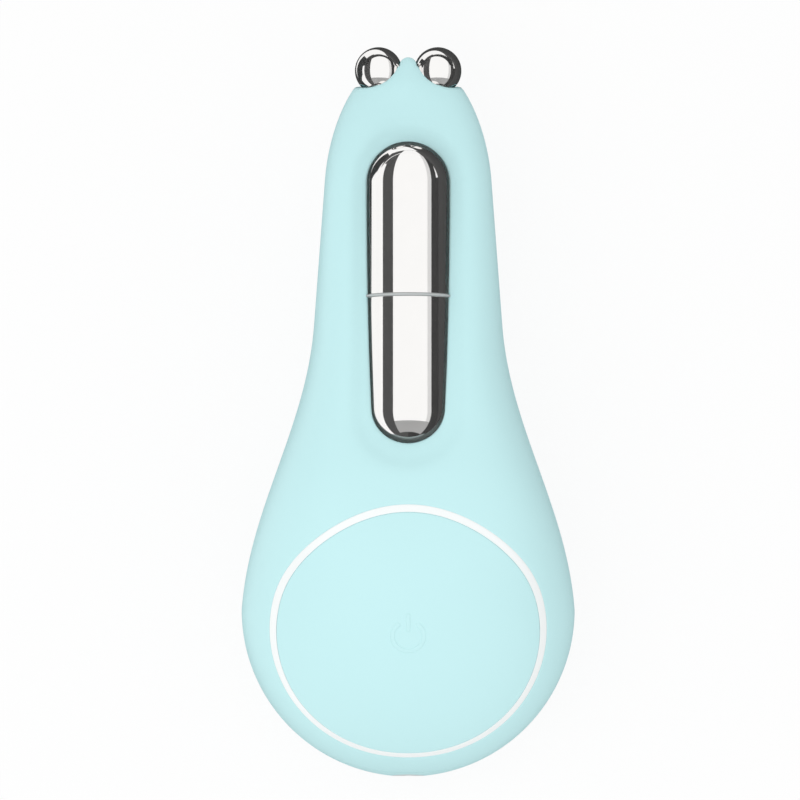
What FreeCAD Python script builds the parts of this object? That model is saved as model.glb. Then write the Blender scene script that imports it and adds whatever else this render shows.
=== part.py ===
import FreeCAD, Part
import math
import os

# A hand-held microcurrent eye device, lying on its back.
# Origin: on the back's rest plane, below the centre of the bulb.
# +Y points to the head with the two spheres, +Z out of the front face, +X to the right. Millimetres.

V = FreeCAD.Vector

# Outer form
bulb_radius = 22.2
neck_foot = 15.4
neck_taper = 0.075
shoulder_length = 38.0
head_start = 57.3
tip_y = 73.7
tip_z = 16.0
pole_z = 6.0
crown_top = 30.0
crown_top_y = 9.2
crown_fall = 0.15
crown_bend = 10.0
crown_roundness = 1.9
head_roundness = 0.42
head_stoop = 0.45
land_end = -4.0
land_sag = 0.5
back_rise_start = 24.0
back_rise = 7.0
equator_share = 0.45
front_fullness = 2.2
shoulder_fullness = 1.4
back_fullness = 2.6
cap_half_width = 2.0

# Dish moulded around the capsule
dish_depth = 1.0
dish_half_width = 7.6
dish_y_low = 18.0
dish_y_high = 68.0
dish_run = 8.0

# Walls
skin = 1.2
wall = 1.5
split_z_bottom = 9.8
split_z_tip = 15.5
gasket_depth = 0.4
gasket_width = 0.6
gasket_height = 0.8

# Spheres at the head
sphere_radius = 3.15
sphere_x = 3.95
sphere_y = 71.9
sphere_gap = 0.1
sphere_stem_radius = 1.2
sphere_stem_end = 61.5
sphere_nut_size = 1.9
sphere_nut_height = 1.8
holder_y = 63.6
holder_length = 3.4
scoop_x = 5.0
scoop_y = 73.7
scoop_radius = 3.9

# Ring and button disc, in a frame that tilts toward the bottom end
disc_y = -2.65
disc_z = 21.9
disc_tilt = 24.5
ring_margin = 3.72
ring_radius = bulb_radius - ring_margin
ring_width = 0.9
opening_depth = 6.0
button_gap = 0.2
button_travel = 0.5
carrier_plate = 1.2
carrier_skirt = 1.4
carrier_clearance = 0.3
flange_thickness = 0.9
flange_margin = 0.4
flange_radius = ring_radius - flange_margin
post_radius = 2.0

# Capsule
capsule_radius = 5.5
capsule_length = 41.4
capsule_y = 41.8
capsule_z = 23.3
capsule_tilt = 3.5
capsule_wall = 0.8
slot_gap = 0.15
seat_gap = 0.05
cradle_wall = 1.25
divider_thickness = 0.3
divider_lip = 0.3
stud_radius = 1.0
stud_spread = 13.0
stud_end = 9.6
stud_nut_size = 2.2
stud_nut_height = 1.6

# Circuit board, square to the button's travel
board_top = 8.0
board_thickness = 1.0
board_margin = 3.6
board_radius = ring_radius - board_margin
board_flat_margin = 1.5
board_post_radius = 2.2
board_post_margin = 1.5
board_post_angles = (-54.0, 31.5)
board_screw_radius = 0.8
board_screw_head_radius = 1.6
board_screw_head_height = 0.9
board_screw_length = 5.0
screw_clearance = 0.1
led_margin = 4.0
led_count = 8
led_size = (2.0, 1.2, 0.7)
chip_boxes = ((-6.0, 3.0, 6.0, 6.0, 0.9), (4.0, 2.0, 4.0, 3.0, 0.8), (5.0, -5.0, 3.0, 3.0, 0.8))

# Tactile switch under the button's post
switch_width = 6.2
switch_base_height = 1.6
switch_cover_height = 0.4
switch_well_radius = 2.3
switch_well_depth = 1.1
dome_thickness = 0.1
dome_gap = 0.1
plunger_radius = 1.5
plunger_fit = 0.05
plunger_collar_radius = 2.0
plunger_rise = 1.4

# Battery on its foam pad
battery_width = 15.0
battery_length = 24.0
battery_height = 5.0
battery_y = -2.5
battery_z = 3.6
battery_round = 1.0
battery_pad_margin = 0.8

# Vibration motor in the neck
motor_y = 31.0
motor_z = 12.4
motor_radius = 2.5
motor_length = 12.0
motor_sleeve_wall = 0.6
motor_sleeve_margin = 1.0
saddle_margin = 2.0
saddle_half_width = 4.2
shaft_radius = 0.5
shaft_fit = 0.05
shaft_end_gap = 0.3
shaft_depth = 3.5
shaft_reach = 4.0
weight_radius = 2.2
weight_length = 2.8
weight_gap = 1.0

# Shell screws: places along Y, each with its distance from the outline
shell_screw_places = ((17.5, 5.5), (34.0, 4.4))
boss_radius = 2.6
boss_ceiling = 18.3
boss_overlap = 0.7
shell_screw_radius = 0.95
shell_screw_head_radius = 1.9
shell_screw_head_height = 1.6
shell_screw_seat = 8.8
shell_screw_grip = 4.0

# Charging socket at the bottom end
socket_z = 6.5
socket_radius = 2.2
socket_bore = 1.25
socket_length = 7.7
socket_floor = 1.0
seal_width = 0.5
seal_length = 1.2
seal_inset = 3.8

# Leads
lead_radius = 0.4
lead_bend_share = 0.45
lead_tail = 3.5
battery_lead_x = 2.0
battery_lead_level = 12.0
battery_lead_pad = 11.0
motor_lead_x = 1.0
motor_lead_level = 10.5
motor_lead_pad = 8.0
sphere_lead_x = 5.0
sphere_lead_level = 12.5
sphere_lead_fall = 1.0
sphere_lead_pad = 8.0
capsule_lead_x = 5.2
capsule_lead_level = 9.9
capsule_lead_tail = 2.2
lower_capsule_pad = 6.0
upper_capsule_pad = -3.0
neck_foot_y = 26.0
neck_top_y = 51.5

# How finely the outer form is drawn, and a length past everything
SECTION_POINTS = 40
BULB_STATIONS = 7
NECK_STATIONS = 11
HEAD_STATIONS = 7
HEAD_LAST_ANGLE = 80.0
FAR = 200.0
ALONG = V(0, 1, 0)


def half_width(y, inset):
    """Half of the outline's width at y: a round bulb, a cosine shoulder, a straight neck, a round head."""
    radius = bulb_radius - inset
    if y < 0:
        return math.sqrt(max(radius * radius - y * y, 0.0))
    neck = neck_foot - inset - neck_taper * y
    if y < shoulder_length:
        neck += (bulb_radius - neck_foot) * (1 + math.cos(math.pi * y / shoulder_length)) / 2
    if y > head_start:
        t = (y - head_start) / (tip_y - inset - head_start)
        neck *= (1 - t * t) ** head_roundness
    return neck


def crown(y, inset):
    """Height of the front face on the middle line."""
    if y < crown_top_y:
        u = (crown_top_y - y) / (crown_top_y + bulb_radius - inset)
        rise = (1 - u ** crown_roundness) ** (1 / crown_roundness)
        return pole_z + (crown_top - inset - pole_z) * rise
    past = y - crown_top_y
    bend = min(past, crown_bend)
    line = crown_top - inset - crown_fall * (bend * bend / (2 * crown_bend) + past - bend)
    if y < head_start:
        return line
    return tip_z + (line - tip_z) * head_close(y, inset)


def back(y, inset):
    """Height of the back on the middle line: a flat land, a round lower end, a rise to the head."""
    floor = inset - land_sag
    if y < land_end:
        u = (land_end - y) / (land_end + bulb_radius - inset)
        return pole_z - (pole_z - floor) * math.sqrt(max(1 - u * u, 0.0))
    line = floor
    if y > back_rise_start:
        u = min((y - back_rise_start) / (head_start - back_rise_start), 1.0)
        line += back_rise * u * u * (3 - 2 * u)
    if y < head_start:
        return line
    return tip_z + (line - tip_z) * head_close(y, inset)


def head_close(y, inset):
    """Share of the head's thickness that is left at y."""
    t = (y - head_start) / (tip_y - inset - head_start)
    return math.sqrt(1 - t * t) * (1 - head_stoop * t * t)


def smooth_step(value, low, run):
    """0 below low, 1 above low + run, smooth between."""
    t = min(max((value - low) / run, 0.0), 1.0)
    return t * t * (3 - 2 * t)


def dish(x, y):
    """Depth of the hollow around the capsule."""
    window = smooth_step(y, dish_y_low, dish_run) * smooth_step(-y, -dish_y_high, dish_run)
    return dish_depth * window * math.exp(-(x / dish_half_width) ** 2)


def section(y, inset):
    """Closed smooth curve around the device at y: a fuller front half and a flatter back half."""
    width = half_width(y, inset)
    top = crown(y, inset)
    bottom = back(y, inset)
    equator = bottom + equator_share * (top - bottom)
    fullness = front_fullness + shoulder_fullness * smooth_step(y, 0.0, shoulder_length / 2)
    points = []
    for k in range(SECTION_POINTS):
        angle = 2 * math.pi * k / SECTION_POINTS - math.pi / 2
        c = math.cos(angle)
        s = math.sin(angle)
        height = top - equator if s >= 0 else equator - bottom
        power = fullness if s >= 0 else back_fullness
        reach = ((abs(c) / width) ** power + (abs(s) / height) ** power) ** (-1 / power)
        x = reach * c
        z = equator + reach * s
        if s > 0:
            z -= s * dish(x, y)
        points.append(V(x, y, z))
    curve = Part.BSplineCurve()
    knots = [float(k) for k in range(SECTION_POINTS + 1)]
    curve.interpolate(Points=points, PeriodicFlag=True, Parameters=knots)
    return Part.Wire(curve.toShape())


def stations(inset):
    """Places along Y of the sections: even angles around the bulb's end and the head, even steps between."""
    radius = bulb_radius - inset
    first = math.asin(cap_half_width / bulb_radius)
    turn = (math.pi / 2 - first) / BULB_STATIONS
    low = [-radius * math.cos(first + turn * k) for k in range(BULB_STATIONS)]
    middle = [head_start * k / NECK_STATIONS for k in range(NECK_STATIONS)]
    reach = tip_y - inset - head_start
    step = math.radians(HEAD_LAST_ANGLE) / HEAD_STATIONS
    high = [head_start + reach * math.sin(step * k) for k in range(HEAD_STATIONS + 1)]
    return low + middle + high


def hull(inset):
    """The device's outer form, moved inward by inset."""
    return Part.makeLoft([section(y, inset) for y in stations(inset)], True, False)


def sphere_at(side, radius):
    return Part.makeSphere(radius, V(side * sphere_x, sphere_y, tip_z))


def form(inset):
    """The hull with the two scoops that hold the spheres and, on the outside, the flat land cut."""
    solid = hull(inset)
    for side in (-1, 1):
        scoop = Part.makeCylinder(scoop_radius + inset, FAR, V(side * scoop_x, scoop_y, -FAR / 2))
        solid = solid.cut(scoop).cut(sphere_at(side, sphere_radius + sphere_gap + inset))
    if inset < land_sag:
        below = Part.makeBox(FAR, FAR, FAR, V(-FAR / 2, -FAR / 2, -FAR))
        solid = solid.cut(below)
    return solid


def split_side(sign, lift=0.0):
    """Everything in front of (sign 1) or behind (sign -1) the parting plane, lifted, of the two shells."""
    low = V(0, -bulb_radius, split_z_bottom + lift)
    slope = math.degrees(math.atan2(split_z_tip - split_z_bottom, tip_y + bulb_radius))
    base = 0.0 if sign > 0 else -FAR
    block = Part.makeBox(FAR, FAR, FAR, V(-FAR / 2, -FAR / 2, base))
    block.Placement = FreeCAD.Placement(low, FreeCAD.Rotation(V(1, 0, 0), slope))
    return block


def split_height(y):
    """Height of the parting plane at y."""
    return split_z_bottom + (split_z_tip - split_z_bottom) * (y + bulb_radius) / (tip_y + bulb_radius)


disc_place = FreeCAD.Placement(V(0, disc_y, disc_z), FreeCAD.Rotation(V(1, 0, 0), disc_tilt))
capsule_place = FreeCAD.Placement(V(0, capsule_y, capsule_z), FreeCAD.Rotation(V(1, 0, 0), -capsule_tilt))


def on_disc(shape):
    """Moves a shape from the disc's own frame (z along the button's axis) to its place."""
    shape.Placement = disc_place.multiply(shape.Placement)
    return shape


def disc_cylinder(radius, low, high, x=0.0, y=0.0):
    return on_disc(Part.makeCylinder(radius, high - low, V(x, y, low)))


def disc_box(x, y, width, length, low, high):
    return on_disc(Part.makeBox(width, length, high - low, V(x - width / 2, y - length / 2, low)))


def on_capsule(shape):
    """Moves a shape from the capsule's own frame (y along its axis) to its place."""
    shape.Placement = capsule_place.multiply(shape.Placement)
    return shape


def capsule_form(radius):
    """A rod with round ends on the capsule's axis; its length grows with its radius."""
    half = capsule_length / 2 - capsule_radius
    rod = Part.makeCylinder(radius, 2 * half, V(0, -half, 0), ALONG)
    for end in (-half, half):
        rod = rod.fuse(Part.makeSphere(radius, V(0, end, 0)))
    return rod.removeSplitter()


def slot_form(radius):
    """The capsule's form carried out through the front face."""
    half = capsule_length / 2 - capsule_radius
    slot = capsule_form(radius).fuse(Part.makeBox(2 * radius, 2 * half, FAR, V(-radius, -half, 0)))
    for end in (-half, half):
        slot = slot.fuse(Part.makeCylinder(radius, FAR, V(0, end, 0)))
    return on_capsule(slot)


def hexagon(size, height, center, axis):
    """A nut's outside: a six-sided prism whose corners lie size from its middle."""
    corners = [V(size * math.cos(math.pi * k / 3), size * math.sin(math.pi * k / 3), 0) for k in range(7)]
    prism = Part.Face(Part.makePolygon(corners)).extrude(V(0, 0, height))
    prism.Placement = FreeCAD.Placement(center, FreeCAD.Rotation(V(0, 0, 1), axis))
    return prism


def lead(points):
    """An insulated wire along straight runs joined by arcs as large as the runs allow."""
    points = [V(*p) for p in points]
    edges = []
    start = points[0]
    for before, corner, after in zip(points, points[1:], points[2:]):
        into = (corner - before).normalize()
        out = (after - corner).normalize()
        turn = into.getAngle(out)
        trim = lead_bend_share * min((corner - before).Length, (after - corner).Length)
        first = corner - into * trim
        last = corner + out * trim
        radius = trim / math.tan(turn / 2)
        center = corner + (out - into).normalize() * (radius / math.cos(turn / 2))
        middle = center + (corner - center).normalize() * radius
        edges.append(Part.LineSegment(start, first).toShape())
        edges.append(Part.Arc(first, middle, last).toShape())
        start = last
    edges.append(Part.LineSegment(start, points[-1]).toShape())
    ring = Part.Wire(Part.makeCircle(lead_radius, points[0], points[1] - points[0]))
    return Part.Wire(edges).makePipeShell([ring], True, False)


def save(name, shape):
    shape.exportStep("parts/" + name + ".step")


def save_group(name, solids):
    save(name, Part.makeCompound(solids))


os.makedirs("parts", exist_ok=True)

outer_form = form(0.0)
shell_form = form(skin)
room_form = form(skin + wall)
front_side = split_side(1)
rear_side = split_side(-1)

# Spheres with their stems, nuts and holder
stem_length = sphere_y - sphere_stem_end
stem_holes = []
sphere_nuts = []
holder = room_form.common(Part.makeBox(FAR, holder_length, FAR, V(-FAR / 2, holder_y, -FAR / 2)))
for side, name in ((-1, "electrode_sphere_left"), (1, "electrode_sphere_right")):
    end = V(side * sphere_x, sphere_stem_end, tip_z)
    stem = Part.makeCylinder(sphere_stem_radius, stem_length, end, ALONG)
    save(name, sphere_at(side, sphere_radius).fuse(stem).removeSplitter())
    hole = Part.makeCylinder(sphere_stem_radius + seat_gap, stem_length, end, ALONG)
    stem_holes.append(hole)
    holder = holder.cut(hole)
    nut_place = V(side * sphere_x, holder_y - sphere_nut_height, tip_z)
    nut = hexagon(sphere_nut_size, sphere_nut_height, nut_place, ALONG)
    sphere_nuts.append(nut.cut(stem))
stem_holes = stem_holes[0].fuse(stem_holes[1])
save_group("sphere_nuts", sphere_nuts)

# Capsule: two hollow metal halves on either side of the divider, each with a stud
cradle_radius = capsule_radius + seat_gap + cradle_wall
capsule_shell = capsule_form(capsule_radius).cut(capsule_form(capsule_radius - capsule_wall))
studs = []
stud_nuts = []
for sign, name in ((1, "capsule_upper_electrode"), (-1, "capsule_lower_electrode")):
    face = sign * divider_thickness / 2
    base = face if sign > 0 else face - FAR
    half = capsule_shell.common(Part.makeBox(FAR, FAR, FAR, V(-FAR / 2, base, -FAR / 2)))
    stud_top = capsule_radius - capsule_wall / 2
    stud = Part.makeCylinder(stud_radius, stud_end - stud_top, V(0, sign * stud_spread, -stud_end))
    save(name, on_capsule(half.fuse(stud).removeSplitter()))
    hole = Part.makeCylinder(stud_radius + seat_gap, stud_end, V(0, sign * stud_spread, -stud_end))
    studs.append(on_capsule(hole))
    nut_place = V(0, sign * stud_spread, -cradle_radius - stud_nut_height)
    nut = hexagon(stud_nut_size, stud_nut_height, nut_place, V(0, 0, 1))
    stud_nuts.append(on_capsule(nut.cut(stud)))
save_group("capsule_nuts", stud_nuts)

divider_place = V(0, -divider_thickness / 2, 0)
divider = Part.makeCylinder(capsule_radius + divider_lip, divider_thickness, divider_place, ALONG)
divider = on_capsule(divider)
save("capsule_divider", divider)

cradle_outside = slot_form(cradle_radius)
cradle = cradle_outside.cut(slot_form(capsule_radius + seat_gap)).common(shell_form)
cradle = cradle.cut(divider).cut(studs[0]).cut(studs[1])
save("capsule_cradle", cradle)
save("sphere_holder", holder.cut(cradle_outside))

# Openings in the front face
disc_opening = disc_cylinder(ring_radius, -opening_depth, FAR)
capsule_slot = on_capsule(capsule_form(capsule_radius + slot_gap))

# Charging socket: a plain round jack, flush with the skin
socket_mouth = V(0, -bulb_radius, socket_z)
socket_blank = Part.makeCylinder(socket_radius, socket_length, socket_mouth, ALONG)
bore = Part.makeCylinder(socket_bore, socket_length - socket_floor, socket_mouth, ALONG)
save("charge_socket", socket_blank.common(outer_form).cut(bore))
seal = Part.makeCylinder(socket_radius + seal_width, seal_length, V(0, seal_inset - bulb_radius, socket_z), ALONG)
save("socket_seal", seal.common(room_form).cut(socket_blank))

# Silicone skins
front_skin = outer_form.common(front_side).cut(shell_form).cut(stem_holes)
save("front_silicone_skin", front_skin.cut(disc_opening).cut(capsule_slot).cut(divider))
rear_skin = outer_form.common(rear_side).cut(shell_form).cut(stem_holes)
save("rear_silicone_skin", rear_skin.cut(socket_blank))

# Light ring
ring_bore = disc_cylinder(ring_radius - ring_width, -opening_depth, FAR)
save("light_ring", disc_opening.cut(ring_bore).common(outer_form).cut(room_form))

# Button: silicone pad on a hard carrier with a skirt, a flange under the ring and a post over the switch
pad_radius = ring_radius - ring_width - button_gap
pad_reach = disc_cylinder(pad_radius, -opening_depth, FAR)
save("button_pad", pad_reach.common(outer_form).cut(shell_form))

flange_top = skin + wall + carrier_clearance
flange_form = hull(flange_top + flange_thickness)
skirt_bore = disc_cylinder(pad_radius - carrier_skirt, -opening_depth, FAR)
carrier = pad_reach.common(shell_form).cut(hull(skin + carrier_plate))
carrier = carrier.fuse(pad_reach.cut(skirt_bore).common(shell_form).cut(flange_form))
flange_reach = disc_cylinder(flange_radius, -opening_depth, FAR).cut(skirt_bore)
carrier = carrier.fuse(flange_reach.common(hull(flange_top)).cut(flange_form))
plunger_top = -board_top + switch_base_height + switch_cover_height + plunger_rise
post = disc_cylinder(post_radius, plunger_top, FAR).common(hull(skin + carrier_plate / 2))
save("button_carrier", carrier.fuse(post).removeSplitter())

# Gasket in a groove on the parting plane
gasket_low = split_side(1, -gasket_height / 2)
gasket_high = split_side(-1, gasket_height / 2)
gasket = form(skin + gasket_depth).common(gasket_low).common(gasket_high)
gasket = gasket.cut(form(skin + gasket_depth + gasket_width)).cut(stem_holes)
save("shell_gasket", gasket)

# Board, its screws, lights and chips
board_under = -board_top - board_thickness
board = disc_cylinder(board_radius, board_under, -board_top)
board_flat = board_radius - board_flat_margin
board = board.common(disc_box(0, FAR / 2 - board_flat, FAR, FAR, board_under, -board_top))
post_circle = board_radius - board_post_margin
board_posts = []
board_screws = []
pilot_holes = []
for angle in board_post_angles:
    y = post_circle * math.sin(math.radians(angle))
    for side in (-1, 1):
        px = side * post_circle * math.cos(math.radians(angle))
        board_posts.append(disc_cylinder(board_post_radius, -FAR, board_under, px, y))
        shank = disc_cylinder(board_screw_radius, -board_top - board_screw_length, -board_top, px, y)
        head_top = board_screw_head_height - board_top
        screw_head = disc_cylinder(board_screw_head_radius, -board_top, head_top, px, y)
        board_screws.append(shank.fuse(screw_head).removeSplitter())
        pilot_holes.append(shank)
        board = board.cut(disc_cylinder(board_screw_radius + screw_clearance, -FAR, FAR, px, y))
save("main_board", board)
save_group("board_screws", board_screws)

leds = []
led_circle = board_radius - led_margin
for k in range(led_count):
    led = Part.makeBox(led_size[0], led_size[1], led_size[2], V(-led_size[0] / 2, led_circle, -board_top))
    led.rotate(V(0, 0, 0), V(0, 0, 1), 360 * k / led_count)
    leds.append(on_disc(led))
save_group("ring_leds", leds)

chips = []
for x, y, width, length, height in chip_boxes:
    chips.append(disc_box(x, y, width, length, board_under - height, board_under))
save_group("board_chips", chips)

# Tactile switch: base with a well, snap dome, cover and plunger
base_top = -board_top + switch_base_height
well_floor = base_top - switch_well_depth
switch_base = disc_box(0, 0, switch_width, switch_width, -board_top, base_top)
save("switch_base", switch_base.cut(disc_cylinder(switch_well_radius, well_floor, base_top)))
cover_top = base_top + switch_cover_height
switch_cover = disc_box(0, 0, switch_width, switch_width, base_top, cover_top)
save("switch_cover", switch_cover.cut(disc_cylinder(plunger_radius + plunger_fit, base_top, cover_top)))
collar_height = switch_well_depth - button_travel - dome_gap
collar_low = base_top - collar_height
plunger = disc_cylinder(plunger_collar_radius, collar_low, base_top)
plunger = plunger.fuse(disc_cylinder(plunger_radius, collar_low, plunger_top)).removeSplitter()
save("switch_plunger", plunger)
dome_radius = switch_well_radius - dome_gap
dome_height = collar_low - well_floor
dome_curve = (dome_radius ** 2 + dome_height ** 2) / (2 * dome_height)
dome_center = V(0, 0, collar_low - dome_curve)
dome = Part.makeSphere(dome_curve, dome_center).cut(Part.makeSphere(dome_curve - dome_thickness, dome_center))
dome = dome.common(Part.makeCylinder(dome_radius, dome_height, V(0, 0, well_floor)))
save("switch_dome", on_disc(dome))

# Battery and its pad
battery_place = V(-battery_width / 2, battery_y, battery_z)
battery = Part.makeBox(battery_width, battery_length, battery_height, battery_place)
save("battery_cell", battery.makeFillet(battery_round, battery.Edges))
pad_width = battery_width - 2 * battery_pad_margin
pad_length = battery_length - 2 * battery_pad_margin
pad_place = V(-pad_width / 2, battery_y + battery_pad_margin, -FAR + battery_z)
save("battery_pad", Part.makeBox(pad_width, pad_length, FAR, pad_place).common(room_form))

# Vibration motor: can, shaft, eccentric weight and rubber sleeve
motor_end = motor_y + motor_length
can = Part.makeCylinder(motor_radius, motor_length, V(0, motor_y, motor_z), ALONG)
can_bore_place = V(0, motor_end - shaft_depth, motor_z)
save("motor_can", can.cut(Part.makeCylinder(shaft_radius + shaft_fit, shaft_depth, can_bore_place, ALONG)))
shaft_place = V(0, motor_end - shaft_depth + shaft_end_gap, motor_z)
shaft = Part.makeCylinder(shaft_radius, shaft_depth - shaft_end_gap + shaft_reach, shaft_place, ALONG)
save("motor_shaft", shaft)
weight_place = V(0, motor_end + weight_gap, motor_z)
weight = Part.makeCylinder(weight_radius, weight_length, weight_place, ALONG)
weight = weight.common(Part.makeBox(FAR, FAR, FAR, V(-FAR / 2, -FAR / 2, motor_z - FAR + shaft_radius * 2)))
save("eccentric_weight", weight.cut(shaft))
sleeve_radius = motor_radius + motor_sleeve_wall
sleeve_length = motor_length - 2 * motor_sleeve_margin
sleeve_place = V(0, motor_y + motor_sleeve_margin, motor_z)
sleeve_outside = Part.makeCylinder(sleeve_radius, sleeve_length, sleeve_place, ALONG)
save("motor_sleeve", sleeve_outside.cut(can))

# Hard shells with their bosses, the board's posts and the motor's saddle
boss_form = hull(skin + boss_overlap)
rear_extras = []
front_extras = []
rear_holes = []
front_holes = []
shell_screws = []
for y, margin in shell_screw_places:
    parting = split_height(y)
    for side in (-1, 1):
        axis = V(side * (half_width(y, 0.0) - margin), y, 0)
        boss = Part.makeCylinder(boss_radius, boss_ceiling, axis).common(boss_form)
        rear_extras.append(boss.common(rear_side))
        front_extras.append(boss.common(front_side))
        seat = axis + V(0, 0, shell_screw_seat)
        shank_length = parting + shell_screw_grip - shell_screw_seat
        shank = Part.makeCylinder(shell_screw_radius, shank_length, seat)
        screw_head = Part.makeCylinder(shell_screw_head_radius, shell_screw_head_height, seat, V(0, 0, -1))
        shell_screws.append(shank.fuse(screw_head).removeSplitter())
        front_holes.append(shank)
        rear_holes.append(Part.makeCylinder(shell_screw_radius + screw_clearance, shank_length, seat))
        counterbore = shell_screw_head_radius + screw_clearance
        rear_holes.append(Part.makeCylinder(counterbore, FAR, seat, V(0, 0, -1)))
save_group("shell_screws", shell_screws)

for post_solid in board_posts:
    rear_extras.append(post_solid.common(boss_form))
saddle_place = V(-saddle_half_width, motor_y + saddle_margin, motor_z - FAR)
saddle_length = motor_length - 2 * saddle_margin
saddle = Part.makeBox(2 * saddle_half_width, saddle_length, FAR, saddle_place).common(boss_form)
rear_extras.append(saddle.cut(sleeve_outside))

front_shell = shell_form.common(front_side).cut(room_form).fuse(front_extras)
save("front_shell", front_shell.cut(front_holes + [gasket, stem_holes, disc_opening, cradle_outside]))

rear_shell = shell_form.common(rear_side).cut(room_form).fuse(rear_extras)
save("rear_shell", rear_shell.cut(rear_holes + pilot_holes + [gasket, stem_holes, socket_blank]))

# Leads from the battery, the motor and the electrodes to the underside of the board


def board_end(x, y, level):
    """The last two points of a lead: below the board at a given height, and on the board's underside."""
    pad = disc_place.multVec(V(x, y, board_under))
    drop = (pad.z - level) / math.cos(math.radians(disc_tilt))
    return [disc_place.multVec(V(x, y, board_under - drop)), pad]


battery_end = battery_y + battery_length
battery_middle = battery_z + battery_height / 2
battery_leads = []
motor_leads = []
sphere_leads = []
for side in (-1, 1):
    x = side * battery_lead_x
    route = [V(x, battery_end, battery_middle), V(x, battery_end + lead_tail, battery_middle)]
    route.append(V(x, battery_end + lead_tail, battery_lead_level))
    battery_leads.append(lead(route + board_end(x, battery_lead_pad, battery_lead_level)))
    x = side * motor_lead_x
    route = [V(x, motor_y, motor_z), V(x, motor_y - lead_tail, motor_z), V(x, neck_foot_y, motor_lead_level)]
    motor_leads.append(lead(route + board_end(x, motor_lead_pad, motor_lead_level)))
    x = side * sphere_lead_x
    stem_end = V(side * sphere_x, sphere_stem_end, tip_z)
    route = [stem_end, stem_end - ALONG * lead_tail]
    route += [V(x, neck_top_y, sphere_lead_level + sphere_lead_fall), V(x, neck_foot_y, sphere_lead_level)]
    sphere_leads.append(lead(route + board_end(x, sphere_lead_pad, sphere_lead_level)))
save_group("battery_leads", battery_leads)
save_group("motor_leads", motor_leads)
save_group("sphere_leads", sphere_leads)

lower_stud = [capsule_place.multVec(V(0, -stud_spread, -stud_end - d)) for d in (0.0, lead_tail)]
upper_stud = [capsule_place.multVec(V(0, stud_spread, -stud_end - d)) for d in (0.0, capsule_lead_tail)]
upper_route = upper_stud + [V(-capsule_lead_x, neck_top_y, upper_stud[1].z)]
upper_route += [V(-capsule_lead_x, neck_foot_y, capsule_lead_level)]
capsule_leads = [
    lead(lower_stud + board_end(0.0, lower_capsule_pad, lower_stud[1].z)),
    lead(upper_route + board_end(-capsule_lead_x, upper_capsule_pad, capsule_lead_level)),
]
save_group("capsule_leads", capsule_leads)
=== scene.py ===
import bmesh
import bpy
import numpy as np
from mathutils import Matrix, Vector
from mathutils.geometry import delaunay_2d_cdt


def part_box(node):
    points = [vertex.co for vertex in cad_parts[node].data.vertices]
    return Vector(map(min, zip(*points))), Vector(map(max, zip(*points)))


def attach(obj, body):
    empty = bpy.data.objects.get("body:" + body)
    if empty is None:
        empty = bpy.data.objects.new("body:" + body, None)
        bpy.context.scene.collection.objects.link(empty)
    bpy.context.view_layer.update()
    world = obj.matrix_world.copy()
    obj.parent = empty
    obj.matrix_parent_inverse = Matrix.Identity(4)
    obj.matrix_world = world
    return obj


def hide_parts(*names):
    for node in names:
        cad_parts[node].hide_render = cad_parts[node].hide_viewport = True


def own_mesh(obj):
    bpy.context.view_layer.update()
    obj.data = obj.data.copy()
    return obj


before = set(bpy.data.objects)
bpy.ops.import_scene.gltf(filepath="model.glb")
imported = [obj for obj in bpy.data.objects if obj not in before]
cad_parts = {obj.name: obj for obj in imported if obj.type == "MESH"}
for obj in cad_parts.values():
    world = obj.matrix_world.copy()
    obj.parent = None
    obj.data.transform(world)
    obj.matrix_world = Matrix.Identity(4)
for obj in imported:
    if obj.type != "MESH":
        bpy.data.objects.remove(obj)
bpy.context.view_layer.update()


# Hard inner shells, button carrier, capsule cradle and sphere holder.
# Injection-moulded white plastic; the two shells close on a gasket and are held by four screws
# from behind.
MM = 0.001


def finish(name, color, roughness, metallic=0.0, grain=0.15, depth=0.004, tint=0.05, spread=0.08):
    """A surface with a grain: noise of a given size in millimetres raises it by a depth and moves
    its colour and its roughness a little to both sides of the values given."""
    material = bpy.data.materials.new(name)
    material.use_nodes = True
    nodes, links = material.node_tree.nodes, material.node_tree.links
    shader = nodes["Principled BSDF"]
    shader.inputs["Metallic"].default_value = metallic
    place = nodes.new("ShaderNodeTexCoord")
    noise = nodes.new("ShaderNodeTexNoise")
    noise.inputs["Scale"].default_value = 1 / (grain * MM)
    links.new(place.outputs["Object"], noise.inputs["Vector"])
    shade = nodes.new("ShaderNodeMix")
    shade.data_type = "RGBA"
    shade.inputs["A"].default_value = (*np.multiply(color, 1 - tint), 1.0)
    shade.inputs["B"].default_value = (*np.multiply(color, 1 + tint), 1.0)
    links.new(noise.outputs["Fac"], shade.inputs["Factor"])
    links.new(shade.outputs["Result"], shader.inputs["Base Color"])
    gloss = nodes.new("ShaderNodeMapRange")
    gloss.inputs["To Min"].default_value = max(roughness - spread, 0.0)
    gloss.inputs["To Max"].default_value = roughness + spread
    links.new(noise.outputs["Fac"], gloss.inputs["Value"])
    links.new(gloss.outputs["Result"], shader.inputs["Roughness"])
    bump = nodes.new("ShaderNodeBump")
    bump.inputs["Distance"].default_value = depth * MM
    links.new(noise.outputs["Fac"], bump.inputs["Height"])
    links.new(bump.outputs["Normal"], shader.inputs["Normal"])
    return material


def dress(material, *names):
    """Gives CAD pieces a material in place of the plain one they were packed with."""
    for name in names:
        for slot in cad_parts[name].material_slots:
            slot.material = material


shell_plastic = finish("shell_plastic", (0.80, 0.83, 0.82), roughness=0.42)
dress(shell_plastic, "front_shell", "rear_shell", "button_carrier", "capsule_cradle",
      "sphere_holder")


# Gasket between the shells, seal of the charging socket and sleeve of the motor.
# Black moulded rubber, pressed into their seats with no glue.
seal_rubber = finish("seal_rubber", (0.018, 0.019, 0.019), roughness=0.75, grain=0.1, tint=0.2)
dress(seal_rubber, "shell_gasket", "socket_seal", "motor_sleeve")


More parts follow.
